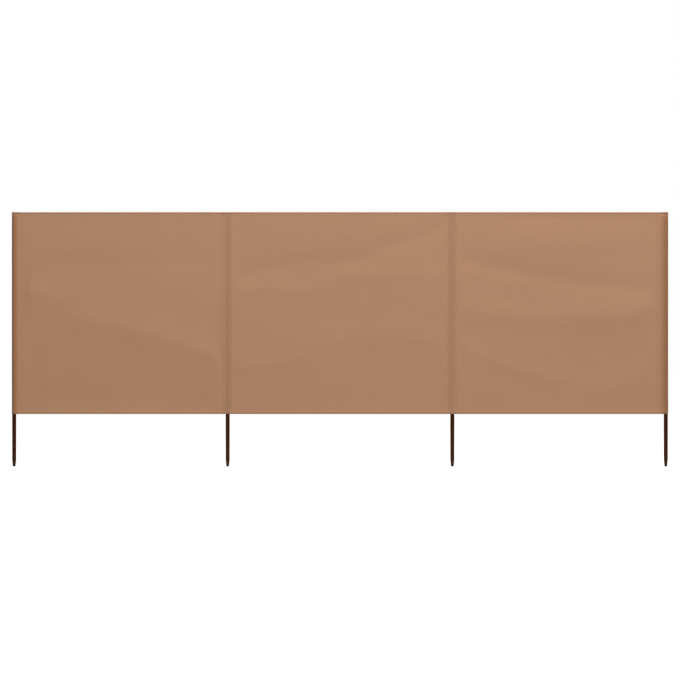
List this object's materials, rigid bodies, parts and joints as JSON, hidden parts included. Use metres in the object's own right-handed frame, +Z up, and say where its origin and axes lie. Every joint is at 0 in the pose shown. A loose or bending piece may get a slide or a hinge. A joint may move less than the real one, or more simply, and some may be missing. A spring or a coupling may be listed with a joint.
{
  "type": "beach windbreak",
  "caption": "Upright beach windbreak: a long, low screen of brown cloth in bays, on slim steel ground poles that slide into sewn tunnels and end in plastic tips.",
  "frame": {"origin": "centre of the flat end of the left end pole's tip, where it stands in the ground", "axes": "+X along the windbreak from the left end pole to the right one, -Y towards the front, +Z up along the poles"},
  "size_m": [4, 0.029, 1.55],
  "materials": {
    "screen_cloth": "matt woven polyester",
    "tunnel_cloth": "matt woven polyester over a dark pole",
    "hem_cloth": "folded and stitched woven polyester",
    "pole_paint": "satin dark brown powder coat on steel tube",
    "tip_plastic": "moulded black plastic"
  },
  "bodies": {
    "bay_1": {"pole_1": "pole_paint", "tip_1": "tip_plastic", "tunnel_1": "tunnel_cloth", "panel_1": "screen_cloth", "top_hem_1": "hem_cloth", "bottom_hem_1": "hem_cloth", "pole_2": "pole_paint", "tip_2": "tip_plastic", "tunnel_2": "tunnel_cloth"},
    "bay_2": {"panel_2": "screen_cloth", "top_hem_2": "hem_cloth", "bottom_hem_2": "hem_cloth", "pole_3": "pole_paint", "tip_3": "tip_plastic", "tunnel_3": "tunnel_cloth"},
    "bay_3": {"panel_3": "screen_cloth", "top_hem_3": "hem_cloth", "bottom_hem_3": "hem_cloth", "pole_4": "pole_paint", "tip_4": "tip_plastic", "tunnel_4": "tunnel_cloth"}
  },
  "joints": [
    {"name": "bay_2_fold", "type": "hinge", "parent": "bay_1", "child": "bay_2", "pos_m": [1.301, 0, 0], "axis": [0, 0, 1], "range_deg": [-115, 115]},
    {"name": "bay_3_fold", "type": "hinge", "parent": "bay_2", "child": "bay_3", "pos_m": [2.67, 0, 0], "axis": [0, 0, 1], "range_deg": [-115, 115]}
  ]
}
